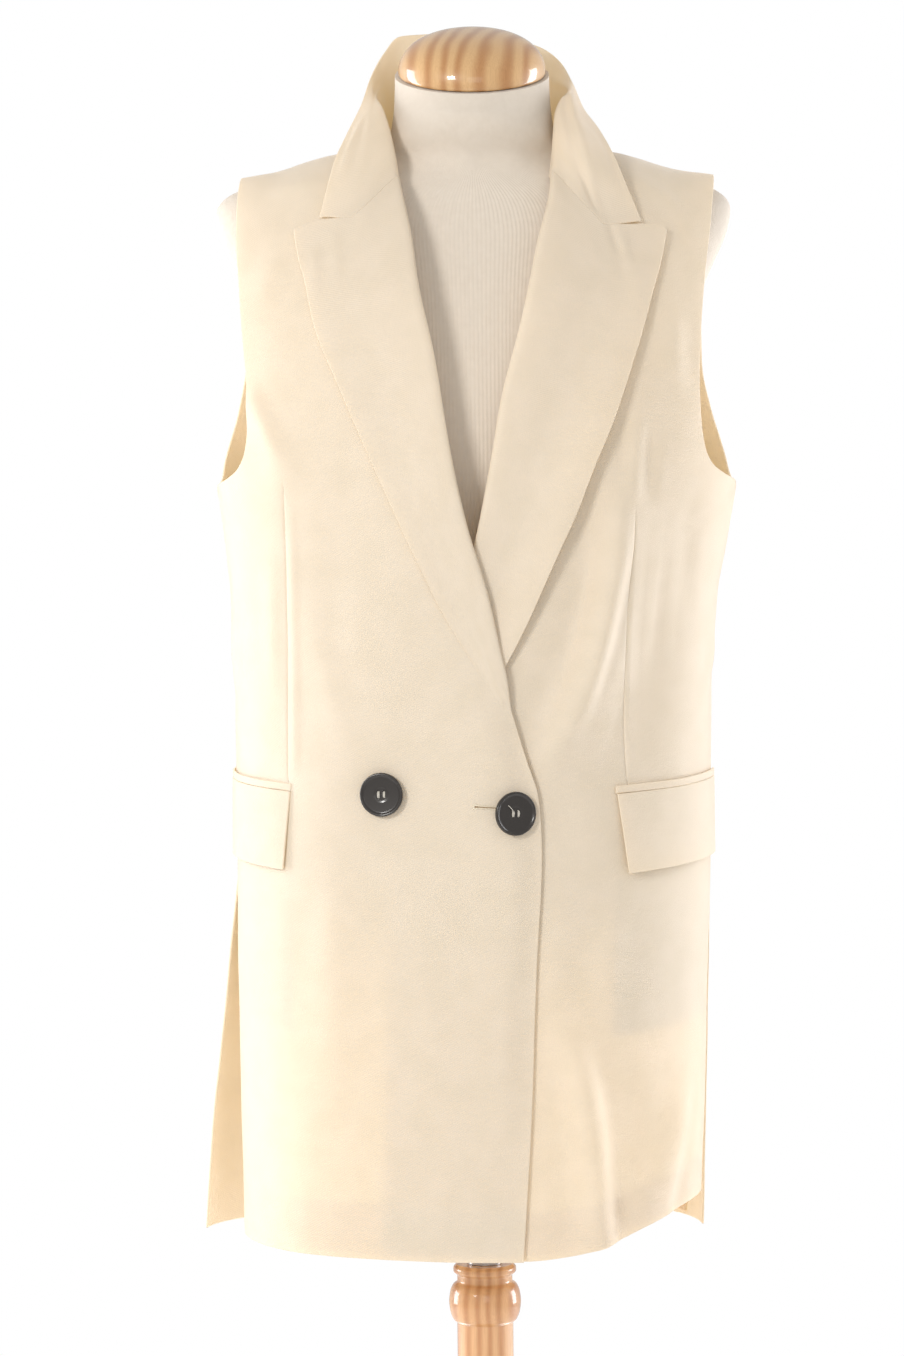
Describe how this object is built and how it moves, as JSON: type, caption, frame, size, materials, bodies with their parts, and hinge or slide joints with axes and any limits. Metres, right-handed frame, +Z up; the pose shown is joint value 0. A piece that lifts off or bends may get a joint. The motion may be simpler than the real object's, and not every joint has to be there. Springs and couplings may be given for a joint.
{
  "type": "tailored vest on dress form",
  "caption": "Longline double-breasted sleeveless tailored vest with peak lapels and flap pockets, worn by a limbless jersey dress form on a turned wooden stand.",
  "frame": {"origin": "middle of the stand's base, on the floor", "axes": "+Z up along the pole, the garment's front faces -Y, +X to the right as seen from its front (the wearer's left)"},
  "size_m": [0.4145, 0.32, 1.4892],
  "materials": {
    "cream_cloth": "fine twill with a soft sheen",
    "beige_jersey": "fine ribbed jersey, matte",
    "dark_horn": "polished",
    "pale_wood": "varnished",
    "steel_tube": "satin"
  },
  "bodies": {
    "root": {"front_right": "cream_cloth", "front_left": "cream_cloth", "back": "cream_cloth", "lapel_right": "cream_cloth", "lapel_left": "cream_cloth", "collar": "cream_cloth", "welt_right": "cream_cloth", "welt_left": "cream_cloth", "flap_right": "cream_cloth", "flap_left": "cream_cloth", "button_outer": "dark_horn", "button_fastened": "dark_horn", "torso": "beige_jersey", "neck_cap": "pale_wood", "stand_pole": "pale_wood", "base": "pale_wood", "pole_tube": "steel_tube"}
  },
  "joints": []
}
